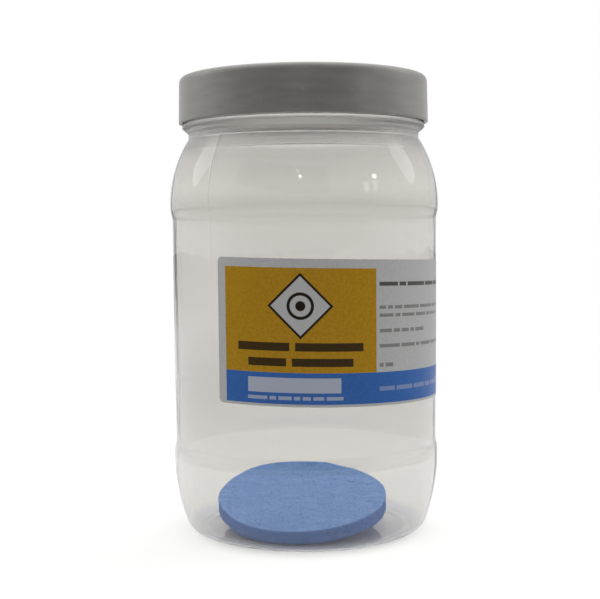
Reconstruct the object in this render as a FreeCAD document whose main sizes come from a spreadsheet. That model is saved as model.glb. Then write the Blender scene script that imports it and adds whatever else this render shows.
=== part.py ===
"""Clear screw-top laboratory waste container: jar, cap, cap liner, wrap-round label and foam pad.

Millimetres, +Z up. The origin is on the jar's axis, at the plane that it stands on.
The label and the pad's low edge face -Y.
"""
import FreeCAD, Part
import math
import os
import re
import Sketcher

DOCUMENT = FreeCAD.newDocument("waste_container")

SIZES = {
    # jar: moulded wall and base
    "wall": 0.7,
    "panel_radius": 60.4,
    "standing_ring_setback": 11.9,
    "standing_ring_width": 3.4,
    "base_slope_angle": 12.3,
    "base_crown_round": 12.0,
    "base_edge_round": 6.0,
    "heel_round": 8.0,
    # jar: bumper rings above and below the panel
    "bumper_step": 0.9,
    "bumper_height": 35.6,
    "bumper_land": 1.2,
    "bumper_blend": 11.5,
    "shoulder_height": 149.4,
    "shoulder_land": 0.8,
    "shoulder_round": 55.0,
    # jar: neck and cap finish
    "neck_setback": 7.9,
    "neck_round": 1.2,
    "neck_height": 2.6,
    "neck_ring_step": 2.7,
    "neck_ring_slant": 2.3,
    "neck_ring_height": 2.0,
    "finish_step": 0.9,
    "finish_height": 17.6,
    "rim_bevel": 0.5,
    # cap
    "cap_seat_gap": 0.3,
    "cap_thread_room": 1.6,
    "cap_wall": 1.8,
    "cap_draft": 0.5,
    "cap_top_thickness": 2.0,
    "cap_edge_round": 1.9,
    "cap_lip_bevel": 0.4,
    "cap_rib_depth": 0.9,
    "cap_rib_height": 1.2,
    # liner
    "liner_thickness": 1.2,
    "liner_side_gap": 0.4,
    "seal_gap": 0.1,
    # label
    "label_glue": 0.05,
    "label_thickness": 0.12,
    "label_height": 61.9,
    "label_front_height": 64.4,
    "label_fall_per_turn": 9.1,
    "label_corner_round": 2.0,
    "label_left_angle": 37.3,
    "label_right_angle": 106.0,
    # pad
    "pad_side_room": 7.1,
    "pad_thickness": 6.6,
    "pad_rest_gap": 0.3,
    "pad_foot_gap": 1.0,
    "pad_side_shift": 1.6,
    "pad_turn_angle": 10.0,
}


def make_sheet():
    """Put every driving size in a spreadsheet cell with an alias."""
    sheet = DOCUMENT.addObject("Spreadsheet::Sheet", "Sizes")
    for row, (alias, value) in enumerate(SIZES.items(), start=1):
        sheet.set(f"A{row}", alias)
        sheet.set(f"B{row}", str(value))
        sheet.setAlias(f"B{row}", alias)
    DOCUMENT.recompute()
    return sheet


SHEET = make_sheet()

# Expressions in the sheet's sizes that more than one place uses.
SLOPE = "(base_slope_angle * 1deg)"
RING_RADIUS = "(panel_radius - standing_ring_setback)"
RING_INNER_RADIUS = f"({RING_RADIUS} - standing_ring_width)"
BUMPER_RADIUS = "(panel_radius + bumper_step)"
BLEND_RISE = "sqrt(4 * bumper_blend * bumper_step - bumper_step^2)"
NECK_RADIUS = "(panel_radius - neck_setback)"
NECK_RING_RADIUS = f"({NECK_RADIUS} + neck_ring_step)"
FINISH_RADIUS = f"({NECK_RADIUS} + finish_step)"
CAP_BORE_RADIUS = f"({FINISH_RADIUS} + cap_thread_room)"
CAP_RADIUS = f"({CAP_BORE_RADIUS} + cap_wall)"
PAD_RADIUS = f"({RING_INNER_RADIUS} - pad_side_room)"


def neck_start(inset):
    """Height where the shoulder's arc, at an inset from its outside, meets the neck."""
    reach = f"(shoulder_round - {BUMPER_RADIUS} + {NECK_RADIUS} - {inset})"
    return f"(shoulder_height + sqrt((shoulder_round - {inset})^2 - {reach}^2))"


def foot_radius(inset):
    """Radius where the push-up's slope meets the standing ring, at an inset from its outside."""
    return f"({RING_INNER_RADIUS} + {inset} * (1 - cos{SLOPE}) / sin{SLOPE})"


FINISH_START = f"({neck_start('0')} + neck_height)"
NECK_RING_TOP = f"({FINISH_START} + neck_ring_slant + neck_ring_height)"
RIM_HEIGHT = f"({NECK_RING_TOP} + finish_height)"
LINER_HEIGHT = f"({RIM_HEIGHT} + seal_gap)"
CAP_CEILING = f"({LINER_HEIGHT} + liner_thickness + seal_gap)"
CAP_TOP = f"({CAP_CEILING} + cap_top_thickness)"


def size(expression):
    """Number that an expression in the sheet's sizes comes to."""
    return float(SHEET.evalExpression(expression))


def bound(expression):
    """The expression with each size's name pointing at its cell."""
    return re.sub(r"[a-z_]+", lambda word: f"Sizes.{word[0]}" if word[0] in SIZES else word[0], expression)


def add_body(label):
    """New body whose label names its piece."""
    body = DOCUMENT.addObject("PartDesign::Body", label)
    body.Label = label
    return body


def add_sketch(body, name, role):
    """New sketch on one of the body's own origin planes."""
    plane = next(feature for feature in body.Origin.OriginFeatures if feature.Role == role)
    sketch = body.newObject("Sketcher::SketchObject", name)
    sketch.AttachmentSupport = [(plane, "")]
    sketch.MapMode = "FlatFace"
    return sketch


def arc_between(start, end, radius, side):
    """Arc from start to end with its centre left (+1) or right (-1) of the way there."""
    chord = end - start
    height = math.sqrt(radius**2 - (chord.Length / 2) ** 2)
    left = FreeCAD.Vector(-chord.y, chord.x, 0).normalize()
    centre = (start + end) / 2 + left * side * height
    circle = Part.Circle(centre, FreeCAD.Vector(0, 0, 1), radius)
    first, last = (start, end) if side > 0 else (end, start)
    angles = [math.atan2(point.y - centre.y, point.x - centre.x) for point in (first, last)]
    return Part.ArcOfCircle(circle, angles[0], angles[1])


def draw_section(sketch, corners):
    """Closed outline through corners given as expressions for radius and height.

    A corner with two entries is reached by a line. One with four is reached by an arc, and
    the last two are its radius and the side of the way there that its centre is on.
    """
    points = [FreeCAD.Vector(size(corner[0]), size(corner[1]), 0) for corner in corners]
    edges = []
    for number, corner in enumerate(corners):
        start, end = points[number - 1], points[number]
        if len(corner) == 2:
            edges.append((sketch.addGeometry(Part.LineSegment(start, end)), 1, 2))
            continue
        radius, side = size(corner[2]), corner[3]
        edge = sketch.addGeometry(arc_between(start, end, radius, side))
        edges.append((edge, 1, 2) if side > 0 else (edge, 2, 1))
    for number, corner in enumerate(corners):
        edge, _, far_end = edges[number]
        following, near_end, _ = edges[(number + 1) % len(edges)]
        sketch.addConstraint(Sketcher.Constraint("Coincident", edge, far_end, following, near_end))
        for kind, axis, expression in (("DistanceX", -2, corner[0]), ("DistanceY", -1, corner[1])):
            if expression == "0":
                sketch.addConstraint(Sketcher.Constraint("PointOnObject", edge, far_end, axis))
                continue
            distance = Sketcher.Constraint(kind, -1, 1, edge, far_end, size(expression))
            sketch.setExpression(f"Constraints[{sketch.addConstraint(distance)}]", bound(expression))
        if len(corner) == 4:
            radius = sketch.addConstraint(Sketcher.Constraint("Radius", edge, size(corner[2])))
            sketch.setExpression(f"Constraints[{radius}]", bound(corner[2]))


def revolve(body, name, corners):
    """Turn a section in the XZ plane once about the vertical axis."""
    sketch = add_sketch(body, f"{name}_section", "XZ_Plane")
    draw_section(sketch, corners)
    revolution = body.newObject("PartDesign::Revolution", name)
    revolution.Profile = sketch
    revolution.ReferenceAxis = (sketch, ["V_Axis"])
    revolution.Angle = 360
    sketch.Visibility = False
    DOCUMENT.recompute()
    return revolution


def ring_edges(feature, radius, height):
    """Names of the feature's round edges of a radius at a height."""
    names = []
    for number, edge in enumerate(feature.Shape.Edges, start=1):
        if edge.Degenerated or not isinstance(edge.Curve, Part.Circle):
            continue
        same_radius = math.isclose(edge.Curve.Radius, size(radius), abs_tol=1e-4)
        if same_radius and math.isclose(edge.Curve.Center.z, size(height), abs_tol=1e-4):
            names.append(f"Edge{number}")
    return names


def dress_rings(body, name, kind, measure, rings):
    """Fillet or Chamfer, of one measure, on the round edges given as pairs of radius and height."""
    base = body.Tip
    names = [edge for ring in rings for edge in ring_edges(base, *ring)]
    dressing = body.newObject(f"PartDesign::{kind}", name)
    dressing.Base = (base, names)
    setting = "Radius" if kind == "Fillet" else "Size"
    setattr(dressing, setting, size(measure))
    dressing.setExpression(setting, bound(measure))
    DOCUMENT.recompute()
    return dressing


def wall_path(inset):
    """Corners of the jar's wall from the push-up's centre to the neck, at an inset from its outside."""
    crown_height = f"(({RING_INNER_RADIUS} - base_crown_round * sin{SLOPE}) * tan{SLOPE})"
    heel_step = f"({BUMPER_RADIUS} - {RING_RADIUS})"
    heel_rise = "(bumper_height - heel_round)"
    belly_round = f"(({heel_step}^2 + {heel_rise}^2 - heel_round^2) / (2 * ({heel_step} - heel_round)))"
    heel_reach = f"((heel_round - {inset}) / ({belly_round} - heel_round))"
    blend_cosine = "(1 - bumper_step / (2 * bumper_blend))"
    blend_sine = f"({BLEND_RISE} / (2 * bumper_blend))"
    blend_middle = f"panel_radius + bumper_step / 2 - {inset} * {blend_cosine}"
    lower_blend = "(bumper_height + bumper_land)"
    upper_blend = f"(shoulder_height - shoulder_land - {BLEND_RISE})"
    bumper = f"{BUMPER_RADIUS} - {inset}"
    panel = f"panel_radius - {inset}"
    outward = f"bumper_blend - {inset}"
    inward = f"bumper_blend + {inset}"
    return [
        ("0", f"{crown_height} + base_crown_round * (1 - cos{SLOPE}) + {inset}"),
        (
            f"(base_crown_round + {inset}) * sin{SLOPE}",
            f"{crown_height} + {inset} * cos{SLOPE}",
            f"base_crown_round + {inset}",
            -1,
        ),
        (foot_radius(inset), inset),
        (RING_RADIUS, inset),
        (
            f"{RING_RADIUS} + {heel_reach} * ({belly_round} - {heel_step})",
            f"heel_round - {heel_reach} * {heel_rise}",
            f"heel_round - {inset}",
            1,
        ),
        (bumper, "bumper_height", f"{belly_round} - {inset}", 1),
        (bumper, lower_blend),
        (blend_middle, f"{lower_blend} + {BLEND_RISE} / 2 - {inset} * {blend_sine}", outward, 1),
        (panel, f"{lower_blend} + {BLEND_RISE}", inward, -1),
        (panel, upper_blend),
        (blend_middle, f"{upper_blend} + {BLEND_RISE} / 2 + {inset} * {blend_sine}", inward, -1),
        (bumper, "shoulder_height - shoulder_land", outward, 1),
        (bumper, "shoulder_height"),
        (f"{NECK_RADIUS} - {inset}", neck_start(inset), f"shoulder_round - {inset}", 1),
    ]


def way_back(corners):
    """The same corners from the last to the first."""
    back = []
    for number in range(len(corners) - 1, 0, -1):
        arc = corners[number][2:]
        back.append(corners[number - 1][:2] + ((arc[0], -arc[1]) if arc else ()))
    return [corners[-1][:2]] + back


def make_jar():
    """Blow-moulded shell with a push-up base, two bumper rings, a shoulder and a cap finish."""
    body = add_body("jar")
    mouth_radius = f"({NECK_RADIUS} - wall)"
    slant_top = f"({FINISH_START} + neck_ring_slant)"
    finish = [
        (NECK_RADIUS, FINISH_START),
        (NECK_RING_RADIUS, slant_top),
        (NECK_RING_RADIUS, NECK_RING_TOP),
        (FINISH_RADIUS, NECK_RING_TOP),
        (FINISH_RADIUS, RIM_HEIGHT),
        (mouth_radius, RIM_HEIGHT),
    ]
    revolve(body, "blown_shell", wall_path("0") + finish + way_back(wall_path("wall")))
    dress_rings(body, "base_edge", "Fillet", "base_edge_round", [(RING_INNER_RADIUS, "0")])
    dress_rings(body, "base_groove", "Fillet", "base_edge_round - wall", [(foot_radius("wall"), "wall")])
    dress_rings(body, "neck_outside", "Fillet", "neck_round", [(NECK_RADIUS, neck_start("0"))])
    dress_rings(body, "neck_inside", "Fillet", "neck_round + wall", [(mouth_radius, neck_start("wall"))])
    dress_rings(body, "trimmed_edges", "Chamfer", "rim_bevel", [
        (NECK_RING_RADIUS, slant_top),
        (NECK_RING_RADIUS, NECK_RING_TOP),
        (FINISH_RADIUS, RIM_HEIGHT),
    ])
    return body


def make_lid():
    """Screw cap with a plain drafted skirt and a rib that keeps the liner in."""
    body = add_body("lid")
    skirt_height = f"({NECK_RING_TOP} + cap_seat_gap)"
    top_radius = f"({CAP_RADIUS} - cap_draft)"
    revolve(body, "cap_shell", [
        ("0", CAP_CEILING),
        (CAP_BORE_RADIUS, CAP_CEILING),
        (CAP_BORE_RADIUS, RIM_HEIGHT),
        (f"{CAP_BORE_RADIUS} - cap_rib_depth", RIM_HEIGHT),
        (CAP_BORE_RADIUS, f"{RIM_HEIGHT} - cap_rib_height"),
        (CAP_BORE_RADIUS, skirt_height),
        (CAP_RADIUS, skirt_height),
        (top_radius, CAP_TOP),
        ("0", CAP_TOP),
    ])
    dress_rings(body, "cap_edge", "Fillet", "cap_edge_round", [(top_radius, CAP_TOP)])
    lip = [(CAP_RADIUS, skirt_height), (CAP_BORE_RADIUS, skirt_height)]
    dress_rings(body, "cap_lip", "Chamfer", "cap_lip_bevel", lip)
    return body


def make_liner():
    """Foam disc between the jar's rim and the cap's ceiling."""
    body = add_body("lid_liner")
    liner_radius = f"{CAP_BORE_RADIUS} - liner_side_gap"
    revolve(body, "liner_disc", [
        ("0", LINER_HEIGHT),
        (liner_radius, LINER_HEIGHT),
        (liner_radius, f"{LINER_HEIGHT} + liner_thickness"),
        ("0", f"{LINER_HEIGHT} + liner_thickness"),
    ])
    return body


def make_label():
    """Thin strip wound round the panel, lower towards its right end, with rounded corners."""
    body = add_body("label")
    lower_edge = "(label_front_height - label_fall_per_turn * label_right_angle / 360)"
    upper_edge = f"({lower_edge} + label_height)"
    back = "(panel_radius + label_glue)"
    front = f"({back} + label_thickness)"
    sketch = add_sketch(body, "label_end", "XZ_Plane")
    draw_section(sketch, [
        (f"{back} - label_thickness", lower_edge),
        (f"{front} + label_thickness", lower_edge),
        (f"{front} + label_thickness", upper_edge),
        (f"{back} - label_thickness", upper_edge),
    ])
    strip = body.newObject("PartDesign::AdditiveHelix", "label_strip")
    strip.Profile = sketch
    strip.ReferenceAxis = (sketch, ["V_Axis"])
    strip.Mode = "pitch-turns-angle"
    strip.LeftHanded = True
    strip.setExpression("Pitch", bound("label_fall_per_turn"))
    strip.setExpression("Turns", bound("(label_left_angle + label_right_angle) / 360"))
    sketch.Visibility = False
    DOCUMENT.recompute()

    base = body.Tip
    corners = [n for n, edge in enumerate(base.Shape.Edges, start=1) if is_radial(edge)]
    fillet = body.newObject("PartDesign::Fillet", "label_corners")
    fillet.Base = (base, [f"Edge{n}" for n in corners])
    fillet.Radius = size("label_corner_round")
    fillet.setExpression("Radius", bound("label_corner_round"))
    DOCUMENT.recompute()

    # The strip is wound three times too thick, and both faces are then turned to the panel's curve.
    low = f"({lower_edge} - label_height)"
    high = f"({upper_edge} + label_height)"
    skins = {
        "label_back": (f"{back} - 2 * label_thickness", back),
        "label_front": (front, f"{front} + 2 * label_thickness"),
    }
    for name, (inner, outer) in skins.items():
        skin = add_sketch(body, f"{name}_section", "XZ_Plane")
        draw_section(skin, [(inner, low), (outer, low), (outer, high), (inner, high)])
        groove = body.newObject("PartDesign::Groove", name)
        groove.Profile = skin
        groove.ReferenceAxis = (skin, ["V_Axis"])
        groove.Angle = 360
        skin.Visibility = False
        DOCUMENT.recompute()

    body.Placement = FreeCAD.Placement(FreeCAD.Vector(), FreeCAD.Rotation(FreeCAD.Vector(0, 0, 1), 0))
    body.setExpression("Placement.Rotation.Angle", bound("(label_right_angle - 90) * 1deg"))
    DOCUMENT.recompute()
    return body


def is_radial(edge):
    """Whether an edge runs straight through the strip that the label is turned from."""
    return math.isclose(edge.Length, size("3 * label_thickness"), rel_tol=0.05)


def make_pad():
    """Foam disc lying on the push-up's front, tilted as the push-up slopes."""
    body = add_body("absorbent_pad")
    sketch = add_sketch(body, "pad_outline", "XY_Plane")
    circle = Part.Circle(FreeCAD.Vector(), FreeCAD.Vector(0, 0, 1), size(PAD_RADIUS))
    outline = sketch.addGeometry(circle)
    sketch.addConstraint(Sketcher.Constraint("Coincident", outline, 3, -1, 1))
    radius = sketch.addConstraint(Sketcher.Constraint("Radius", outline, size(PAD_RADIUS)))
    sketch.setExpression(f"Constraints[{radius}]", bound(PAD_RADIUS))
    pad = body.newObject("PartDesign::Pad", "foam_disc")
    pad.Profile = sketch
    pad.setExpression("Length", bound("pad_thickness"))
    sketch.Visibility = False

    turn = "(pad_turn_angle * 1deg)"
    reach = f"(pad_foot_gap + {PAD_RADIUS})"
    uphill = f"({reach} * cos{SLOPE} - pad_rest_gap * sin{SLOPE} - {foot_radius('wall')})"
    height = f"wall + {reach} * sin{SLOPE} + pad_rest_gap * cos{SLOPE}"
    axis = FreeCAD.Vector(size(f"cos{turn}"), -size(f"sin{turn}"), 0)
    body.Placement = FreeCAD.Placement(FreeCAD.Vector(), FreeCAD.Rotation(axis, size("base_slope_angle")))
    body.setExpression("Placement.Rotation.Angle", bound(SLOPE))
    body.setExpression("Placement.Base.x", bound(f"{uphill} * sin{turn} - pad_side_shift * cos{turn}"))
    body.setExpression("Placement.Base.y", bound(f"{uphill} * cos{turn} + pad_side_shift * sin{turn}"))
    body.setExpression("Placement.Base.z", bound(height))
    DOCUMENT.recompute()
    return body


def check_document():
    """Stop if any object failed, or any piece isn't one valid solid."""
    for item in DOCUMENT.Objects:
        if {"Invalid", "Error"} & set(item.State):
            raise RuntimeError(f"{item.Name} failed: {item.State}")
    for piece in PIECES:
        if piece.Shape.isNull() or not piece.Shape.isValid():
            raise RuntimeError(f"{piece.Label} isn't valid")
        if len(piece.Shape.Solids) != 1:
            raise RuntimeError(f"{piece.Label} isn't one solid")


PIECES = [make_jar(), make_lid(), make_liner(), make_label(), make_pad()]
DOCUMENT.recompute()
check_document()
os.makedirs("parts", exist_ok=True)
for made in PIECES:
    made.Shape.exportStep(f"parts/{made.Label}.step")
    box = made.Shape.optimalBoundingBox(False, False)
    print(f"{made.Label}: {made.Shape.Volume:.1f} mm3, z {box.ZMin:.2f} to {box.ZMax:.2f}, width {box.XLength:.2f}")
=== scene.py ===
import math

import bpy
from mathutils import Matrix, Vector, noise


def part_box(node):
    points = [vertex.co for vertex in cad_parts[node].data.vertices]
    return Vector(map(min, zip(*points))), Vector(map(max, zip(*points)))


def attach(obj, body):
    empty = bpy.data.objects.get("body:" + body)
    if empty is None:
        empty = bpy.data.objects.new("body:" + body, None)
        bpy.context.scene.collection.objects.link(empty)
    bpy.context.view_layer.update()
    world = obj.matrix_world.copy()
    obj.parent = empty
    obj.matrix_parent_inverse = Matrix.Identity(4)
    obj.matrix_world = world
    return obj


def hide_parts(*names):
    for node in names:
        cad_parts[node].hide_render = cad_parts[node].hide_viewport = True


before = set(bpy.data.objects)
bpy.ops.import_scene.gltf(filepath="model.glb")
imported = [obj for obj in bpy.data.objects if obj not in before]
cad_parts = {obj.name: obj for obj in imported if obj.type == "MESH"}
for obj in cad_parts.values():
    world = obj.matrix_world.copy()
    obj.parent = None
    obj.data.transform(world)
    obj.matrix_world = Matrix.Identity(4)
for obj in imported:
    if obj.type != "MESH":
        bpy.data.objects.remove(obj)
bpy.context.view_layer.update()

MM = 0.001

# Camera, as in the photograph: metres, degrees and pixels of a picture 600 wide.
CAMERA_PLACE = (0.0, -0.5534, 0.1379)
CAMERA_DOWN = 5.03
CAMERA_TURN = 0.245
CAMERA_ROLL = -0.512
CAMERA_SHIFT_Y = 0.06
FOCAL_PIXELS = 1193.7
PICTURE_PIXELS = 600
SENSOR_WIDTH = 36.0

# World: the even fill, and how bright the room is that plastic mirrors from the front, sides, back and top.
FILL_STRENGTH = 0.42
FRONT_ROOM = 0.05
SIDE_ROOM = 1.1
BACK_ROOM = 0.7
TOP_ROOM = 1.5

# Where the room changes, as how far a direction points to the back, and for the last how far it points up.
ROOM_FROM_FRONT = (-0.95, 0.0)
ROOM_TO_BACK = (0.3, 0.95)
ROOM_TO_TOP = (0.4, 0.95)

# Floor, in metres: half its side, where it fades into plain white, and where its glow dims under the jar in a
# painted shadow.
FLOOR_REACH = 6.0
FLOOR_FADE = (0.25, 0.6)
FLOOR_PAINTED_SHADOW = (0.034, 0.054)

# Floor's own glow, the share of it that is left in the painted shadow under the jar, and how much of it
# plastic mirrors.
FLOOR_GLOW = 0.27
GLOW_LEFT_IN_PAINTED_SHADOW = 0.2
FLOOR_MIRRORED = 0.25

# Jar, in millimetres, as its solid has them.
WALL = 0.7
PANEL_RADIUS = 60.4
RING_RADIUS = PANEL_RADIUS - 11.9
RING_INNER_RADIUS = RING_RADIUS - 3.4
BASE_SLOPE = math.radians(12.3)
CROWN_ROUND = 12.0
BASE_EDGE_ROUND = 6.0
HEEL_ROUND = 8.0
BUMPER_STEP = 0.9
BUMPER_RADIUS = PANEL_RADIUS + BUMPER_STEP
BUMPER_HEIGHT = 35.6
BUMPER_LAND = 1.2
BUMPER_BLEND = 11.5
SHOULDER_HEIGHT = 149.4
SHOULDER_LAND = 0.8
SHOULDER_ROUND = 55.0
NECK_RADIUS = PANEL_RADIUS - 7.9
NECK_ROUND = 1.2
NECK_RING_RADIUS = NECK_RADIUS + 2.7
NECK_RING_SLANT = 2.3
NECK_RING_HEIGHT = 2.0
NECK_RING_ROUND = 1.45
FINISH_RADIUS = NECK_RADIUS + 0.9
MOUTH_RADIUS = NECK_RADIUS - WALL
RIM_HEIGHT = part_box("jar")[1].z / MM
NECK_RING_TOP = RIM_HEIGHT - 17.6
SLANT_TOP = NECK_RING_TOP - NECK_RING_HEIGHT
FINISH_START = SLANT_TOP - NECK_RING_SLANT
BEVEL = 0.5

# Mould parting lines on the jar: degrees from the front, right positive, and height in millimetres.
PARTING_LINES = ((-41.5, 0.17), (138.5, 0.07))

# Parting line, in millimetres: its width, its fades at the bumper and the neck, and its share on the panel.
PARTING_WIDTH = 0.22
PARTING_FADE = 20.0
PARTING_NECK_FADE = 3.0
PARTING_PANEL_SHARE = 0.5

# Mesh columns beside a parting line, in millimetres from it, and the room that they have to themselves.
PARTING_COLUMNS = (0.0, 0.12, 0.24, 0.4, 0.7)
PARTING_CLEAR = 1.2

# Uneven inside of the blown wall, in millimetres: depth, width and length of its streaks, the finer streaks
# with their share of that depth, and how it fades below the rim and towards the axis.
STREAK_DEPTH = 0.055
STREAK_SIZE = (24.0, 72.0)
FINE_STREAK_SIZE = (8.0, 48.0)
FINE_STREAK_SHARE = 0.35
STREAK_FADE_BELOW_RIM = (3.0, 9.0)
STREAK_FADE_RADIUS = 20.0

# Thick hazy plastic of the neck, in millimetres: its lower end, its soft edge, and where it turns hazier.
NECK_HAZE = 173.7
NECK_HAZE_EDGE = 0.4
FINISH_HAZE = 178.0

# Faint tint of the blown wall, where it is thicker and thinner, with painted light at the top: height in
# millimetres and colour.
TINT_TOP = 200.0
WALL_TINTS = (
    (20, (230, 229, 227)), (35.2, (227, 226, 224)), (35.8, (220, 219, 216)), (50, (217, 216, 213)),
    (100, (229, 227, 224)), (140, (227, 225, 222)),
    # The last stop, from 182 mm up, lightens the neck ring and finish as painted light.
    (149, (218, 216, 212)), (157, (228, 226, 222)), (173, (216, 213, 210)), (182, (248, 246, 243)),
)

# Painted shadow and painted reflection of the pad on the base, in lavender: its middle and its fades outward,
# up the push-up and up the heel in metres, and how strong it is at the heel.
PAD_SHADOW_MIDDLE = (0.0, -0.012, 0.0)
PAD_SHADOW_OUTWARD = (0.028, 0.046)
PAD_SHADOW_UPWARD = (0.012, 0.02)
PAD_SHADOW_UP_HEEL = (0.001, 0.005)
PAD_SHADOW_HEEL_SHARE = 0.35

# Screw thread, in millimetres: the jar's ridge and the lid's ridge lie on one helix, half a pitch apart.
PITCH = 5.08
THREAD_TURNS = 1.35
THREAD_BASE = 2.2
THREAD_CREST = 0.9
THREAD_DEPTH = 1.2
THREAD_START = NECK_RING_TOP + 3.2
THREAD_FADE = 14.0
THREAD_CLEAR = 0.2
LID_THREAD_LATER = 0.35

# Lid, in millimetres. The gate mark's outline is in shares of its radius and its depth.
LID_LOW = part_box("lid")[0].z / MM
LID_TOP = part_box("lid")[1].z / MM
BORE_RADIUS = FINISH_RADIUS + 1.6
LID_RADIUS = BORE_RADIUS + 1.8
LID_DRAFT = 0.5
LID_EDGE_ROUND = 3.0
LID_LIP_BEVEL = 0.4
LID_CEILING = LID_TOP - 2.0
LID_RIB_DEPTH = 0.9
LID_RIB_HEIGHT = 1.2
GATE_RADIUS = 3.0
GATE_DEPTH = 0.4
GATE_OUTLINE = ((0.85, 1.0), (0.3, 1.0), (0.25, 0.4), (0, 0.3))

# Liner, in millimetres. The rim's dent slopes in and out at these distances from the rim's middle.
LINER_RADIUS = BORE_RADIUS - 0.4
LINER_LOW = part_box("lid_liner")[0].z / MM
LINER_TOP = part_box("lid_liner")[1].z / MM
LINER_EDGE = 0.25
LINER_EDGE_HEIGHT = 0.3
LINER_DENT = 0.2
DENT_INNER_SLOPE = (-2.2, -1.2)
DENT_OUTER_SLOPE = (1.0, 1.6)

# Label, in millimetres, with its ends in degrees from the front, right positive.
LABEL_BACK = PANEL_RADIUS + 0.05
LABEL_THICKNESS = 0.12
LABEL_HEIGHT = 61.9
LABEL_FRONT_HEIGHT = 64.4
LABEL_FALL_PER_TURN = 9.1
LABEL_LEFT = -37.3
LABEL_RIGHT = 106.0
LABEL_CORNER = 2.0

# Print, in millimetres along the label from the front line, right positive, and up from its lower edge.
# Each field or bar is left, right, low, high. The band runs on past the label's end.
FIELD = (-35.4, 31.4, 14.3, 58.1)
BAND = (-35.4, 400.0, 1.1, 14.3)
DIAMOND = (-1.9, 42.25)
DIAMOND_REACH = 13.8
DIAMOND_LINE = 0.95
SIGN_RING = (4.4, 5.7)
SIGN_DOT = 2.1
HEADING_BARS = (
    (-29.2, -6.6, 23.4, 26.9), (-4.2, 25.1, 23.4, 26.9),
    (-24.5, -8.0, 17.0, 20.4), (-5.6, 20.5, 17.0, 20.4),
)
BAND_BARS = ((-24.7, 15.1, 5.9, 12.2),)
PRINT_EDGE = 0.09

# Printed words as bars: left and right of each, with the row's low and high.
SMALL_BAND_HEIGHT = (2.9, 4.4)
SMALL_BAND_WORDS = (
    (-24.8, -16.2), (-15.2, -12.4), (-11.4, -5.8), (-4.8, -2.2), (-1.2, 2.2), (3.2, 7.8), (8.8, 16.0),
)
BOLD_HEIGHT = (50.8, 52.5)
BOLD_WORDS = ((33.0, 43.2), (44.2, 48.4), (49.4, 63.0), (64.0, 74.0), (75.0, 84.0))

# Rows of small text: low, high and the lengths of the words.
TEXT_LEFT = 33.0
TEXT_GAP = 1.1
TEXT_ROWS = (
    (41.1, 42.5, (3.4, 2.8, 4.4, 11.0, 12.5, 5.5, 7.2)),
    (37.7, 39.1, (7.6, 3.0, 8.6, 8.8, 4.0, 6.6, 5.0)),
    (31.1, 32.6, (6.6, 3.6, 4.8, 2.6, 7.4)),
    (24.7, 26.2, (11.2, 9.2, 2.8, 10.2, 6.4, 8.0)),
    (16.5, 18.2, (2.0, 4.2)),
)
ADDRESS_ROW = (6.3, 8.2, (8.2, 10.4, 9.0, 5.2, 8.8, 6.4, 4.0))

# Inks and paper of the label.
INK = (22, 14, 6)
PALE_INK = (160, 161, 166)
PAPER = (149, 149, 149)

# Pad, in millimetres. Each wave round its hand-cut edge has a count, a height and its crest's angle, which
# is in degrees from the right.
PAD_RADIUS = 38.3
PAD_WAVES = ((1, 0.6, 23), (2, 1.2, -30), (3, 0.65, 9), (7, 0.15, 20))
PAD_THICKNESS = 6.6
PAD_EDGE_ROUND = 0.6
PAD_BEND_START = 15.0
PAD_BEND = 0.0024

# Pad's skin, in millimetres: height of its swell and wrinkles, with their size across it and to its back, and
# depth and spacing of its pores, with a pore's radius as a share of that.
PAD_SWELL = 0.16
PAD_SWELL_SIZE = (13, 13)
PAD_WRINKLE = 0.07
PAD_WRINKLE_SIZE = (4.5, 1.6)
PAD_PORE = 0.22
PAD_PORE_SPACING = 3.4
PAD_PORE_SHARE = 0.16

# Roughness of the pad's cut side, in millimetres: its height, and its size along the side and down it.
PAD_CUT = 0.16
PAD_CUT_SIZE = (2.2, 2.0)

# Meshes: points round the axis, an arc's step, steps over a large rounding, and a sharp edge's least angle.
AROUND = 192
ARC_STEP = math.radians(3.0)
ROUND_STEPS = 8
SHARP_ANGLE = math.radians(50)

# Longest steps along straight outlines, in millimetres.
WALL_STEP = 3.0
FINISH_STEP = 0.4
MOUTH_STEP = 0.8
SKIRT_STEP = 1.0
TOP_STEP = 4.0
LINER_STEP = 5.0

# Rows and columns of the label, points round the pad, and its rings, which bunch a little towards the edge.
LABEL_ROWS = 20
LABEL_COLUMNS = 140
LABEL_CORNER_COLUMNS = 6
PAD_AROUND = 240
PAD_RINGS = 56
PAD_RING_POWER = 0.9


# Outlines and turned meshes

def arc_points(start, end, radius, side):
    """Points after start, up to end, on an arc whose centre is left (+1) or right (-1) of the way there."""
    chord = math.dist(start, end)
    height = math.sqrt(radius**2 - (chord / 2) ** 2)
    left = ((start[1] - end[1]) / chord, (end[0] - start[0]) / chord)
    centre = [(a + b) / 2 + side * height * c for a, b, c in zip(start, end, left)]
    first = math.atan2(start[1] - centre[1], start[0] - centre[0])
    sweep = side * 2 * math.asin(chord / 2 / radius)
    steps = max(2, math.ceil(abs(sweep) / ARC_STEP))
    turns = [first + sweep * n / steps for n in range(1, steps + 1)]
    return [(centre[0] + radius * math.cos(t), centre[1] + radius * math.sin(t)) for t in turns]


def trace(corners, spacing):
    """Outline through corners (radius, height), reached by lines, or by arcs where they have four entries."""
    outline = [corners[0][:2]]
    for corner in corners[1:]:
        start, end = outline[-1], corner[:2]
        if len(corner) == 4:
            outline += arc_points(start, end, corner[2], corner[3])
            continue
        steps = max(1, math.ceil(math.dist(start, end) / spacing))
        outline += [tuple(Vector(start).lerp(end, n / steps)) for n in range(1, steps + 1)]
    return outline


def step_along(outline, at, way, reach):
    """First index past a reach from the point at an index, one way along, and the point at that reach."""
    n = at
    while math.dist(outline[n + way], outline[at]) < reach:
        n += way
    near = math.dist(outline[n], outline[at])
    far = math.dist(outline[n + way], outline[at])
    return n + way, Vector(outline[n]).lerp(outline[n + way], (reach - near) / (far - near))


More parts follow.
